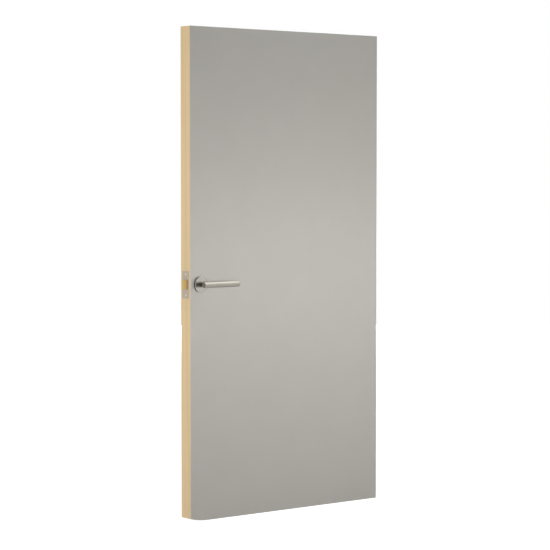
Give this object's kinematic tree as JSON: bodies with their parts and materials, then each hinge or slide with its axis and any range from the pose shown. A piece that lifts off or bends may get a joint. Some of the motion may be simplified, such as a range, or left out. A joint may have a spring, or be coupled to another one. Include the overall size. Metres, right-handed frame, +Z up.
{
  "type": "laminate interior door",
  "caption": "Wide flush interior door leaf with laminate faces, timber edges, a lever on a round rose on each side and a sprung latch in the edge.",
  "frame": {"origin": "foot of the hinge edge, in the middle of the leaf's thickness", "axes": "+X out of the hinge edge, away from the lock edge; +Y out of the back face, the one the hinge seats open to; +Z up"},
  "size_m": [1.031, 0.169, 2.04],
  "materials": {
    "laminate": "matt warm grey laminate with a soft sheen",
    "facing_board": "raw fibreboard",
    "edge_timber": "clear lacquered pale hardwood, grain along the edge",
    "frame_timber": "sawn softwood",
    "core_board": "raw chipboard",
    "plated_steel": "zinc plated",
    "faceplate_metal": "satin",
    "screw_metal": "satin",
    "rose_metal": "satin nickel",
    "rose_inner": "black coated",
    "lever_metal": "satin nickel",
    "neck_metal": "dark bronze",
    "cap_metal": "dark satin nickel",
    "bolt_brass": "satin brass"
  },
  "bodies": {
    "leaf": {"front_laminate": "laminate", "back_laminate": "laminate", "front_skin": "facing_board", "back_skin": "facing_board", "lock_lipping": "edge_timber", "hinge_lipping": "edge_timber", "lock_stile": "frame_timber", "hinge_stile": "frame_timber", "top_rail": "frame_timber", "bottom_rail": "frame_timber", "core": "core_board", "latch_case": "plated_steel", "latch_faceplate": "faceplate_metal", "faceplate_screw_top": "screw_metal", "faceplate_screw_bottom": "screw_metal", "front_rose_base": "rose_inner", "front_rose_cover": "rose_metal", "front_bush": "rose_metal", "back_rose_base": "rose_inner", "back_rose_cover": "rose_metal", "back_bush": "rose_metal"},
    "handle": {"spindle": "plated_steel", "follower": "plated_steel", "front_lever_neck": "neck_metal", "front_lever_bar": "lever_metal", "front_lever_heel_cap": "cap_metal", "front_lever_tip_cap": "lever_metal", "back_lever_neck": "neck_metal", "back_lever_bar": "lever_metal", "back_lever_heel_cap": "cap_metal", "back_lever_tip_cap": "lever_metal"},
    "latch": {"latch_bolt": "bolt_brass"}
  },
  "joints": [
    {"name": "lever_turn", "type": "hinge", "parent": "leaf", "child": "handle", "pos_m": [-0.97, 0, 0.98], "axis": [0, 1, 0], "range_deg": [0, 40], "stiffness_Nm_per_rad": 1, "springref_deg": -45.84},
    {"name": "latch_slide", "type": "slide", "parent": "leaf", "child": "latch", "axis": [1, 0, 0], "range_m": [0, 0.0111]}
  ],
  "couplings": [
    {"joint": "latch_slide", "follows": "lever_turn", "m_per_rad": 0.015756}
  ]
}
